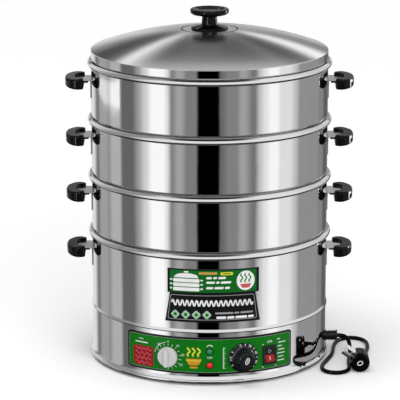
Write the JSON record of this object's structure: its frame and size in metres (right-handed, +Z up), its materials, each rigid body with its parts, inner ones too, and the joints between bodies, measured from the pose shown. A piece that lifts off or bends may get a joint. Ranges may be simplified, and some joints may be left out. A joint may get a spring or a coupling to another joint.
{
  "type": "commercial electric steamer",
  "caption": "Round stacked electric steamer: heated base with a water pot, lift-off tiers with side grips, a domed lid, and a front panel with dials, lamps and a rocker switch.",
  "frame": {"origin": "where the steamer's vertical axis meets the surface it stands on", "axes": "+Z up, the control panel faces -Y, +X to the right seen from the front"},
  "size_m": [0.5218, 0.4265, 0.5979],
  "materials": {
    "polished_steel": "mirror polished",
    "lid_steel": "satin, spun",
    "bracket_steel": "polished",
    "tray_steel": "mill finish",
    "bakelite": "glossy moulded",
    "fastener_steel": "plain",
    "panel_green": "printed film",
    "label_print": "printed film",
    "black_plastic": "moulded",
    "white_plastic": "moulded",
    "red_plastic": "clear red",
    "green_lamp_plastic": "clear green",
    "red_lamp_plastic": "clear red",
    "heater_aluminium": "cast",
    "brass": "bright",
    "foot_rubber": "matt",
    "lead_rubber": "satin"
  },
  "bodies": {
    "base": {"base_shell": "polished_steel", "control_panel": "panel_green", "bottom_cover": "tray_steel", "cover_screws": "fastener_steel", "rubber_feet": "foot_rubber", "heating_plate": "heater_aluminium", "heater_terminals": "brass", "thermal_cutout": "brass", "thermostat_probe": "brass", "thermostat_body": "black_plastic", "timer_body": "black_plastic", "switch_housing": "black_plastic", "green_lamp": "green_lamp_plastic", "red_lamp": "red_lamp_plastic", "terminal_block": "black_plastic", "cord_gland": "black_plastic", "gland_nut": "black_plastic", "power_cord": "lead_rubber", "plug_body": "lead_rubber", "plug_pins": "brass", "pot_shell": "polished_steel", "pot_label": "label_print", "pot_bracket_left": "bracket_steel", "pot_bracket_right": "bracket_steel", "pot_grip_left": "bakelite", "pot_grip_right": "bakelite"},
    "tier_bottom": {"tier_bottom_shell": "polished_steel", "tier_bottom_bracket_left": "bracket_steel", "tier_bottom_bracket_right": "bracket_steel", "tier_bottom_tray": "tray_steel", "tier_bottom_grip_left": "bakelite", "tier_bottom_grip_right": "bakelite"},
    "tier_middle": {"tier_middle_shell": "polished_steel", "tier_middle_bracket_left": "bracket_steel", "tier_middle_bracket_right": "bracket_steel", "tier_middle_tray": "tray_steel", "tier_middle_grip_left": "bakelite", "tier_middle_grip_right": "bakelite"},
    "tier_top": {"tier_top_shell": "polished_steel", "tier_top_bracket_left": "bracket_steel", "tier_top_bracket_right": "bracket_steel", "tier_top_tray": "tray_steel", "tier_top_grip_left": "bakelite", "tier_top_grip_right": "bakelite"},
    "lid": {"lid_shell": "lid_steel", "lid_knob": "bakelite", "knob_washer": "fastener_steel", "knob_screw": "fastener_steel"},
    "thermostat_dial": {"thermostat_knob": "black_plastic", "thermostat_spindle": "fastener_steel"},
    "timer_dial": {"timer_knob": "white_plastic", "timer_spindle": "fastener_steel"},
    "power_switch": {"power_rocker": "black_plastic", "rocker_lens": "red_plastic"}
  },
  "joints": [
    {"name": "tier_bottom_lift", "type": "slide", "parent": "base", "child": "tier_bottom", "axis": [0, 0, 1], "range_m": [0, 0.12]},
    {"name": "tier_middle_lift", "type": "slide", "parent": "tier_bottom", "child": "tier_middle", "axis": [0, 0, 1], "range_m": [0, 0.12]},
    {"name": "tier_top_lift", "type": "slide", "parent": "tier_middle", "child": "tier_top", "axis": [0, 0, 1], "range_m": [0, 0.12]},
    {"name": "lid_lift", "type": "slide", "parent": "tier_top", "child": "lid", "axis": [0, 0, 1], "range_m": [0, 0.15]},
    {"name": "thermostat_turn", "type": "hinge", "parent": "base", "child": "thermostat_dial", "pos_m": [0.05554, -0.19369, 0.047], "axis": [0.2756, -0.9613, 0], "range_deg": [-270, 0]},
    {"name": "timer_turn", "type": "hinge", "parent": "base", "child": "timer_dial", "pos_m": [-0.06892, -0.18935, 0.047], "axis": [-0.342, -0.9397, 0], "range_deg": [-300, 0]},
    {"name": "power_rocker_tip", "type": "hinge", "parent": "base", "child": "power_switch", "pos_m": [0.09691, -0.17129, 0.0455], "axis": [0.8704, 0.4924, 0], "range_deg": [0, 16]}
  ]
}
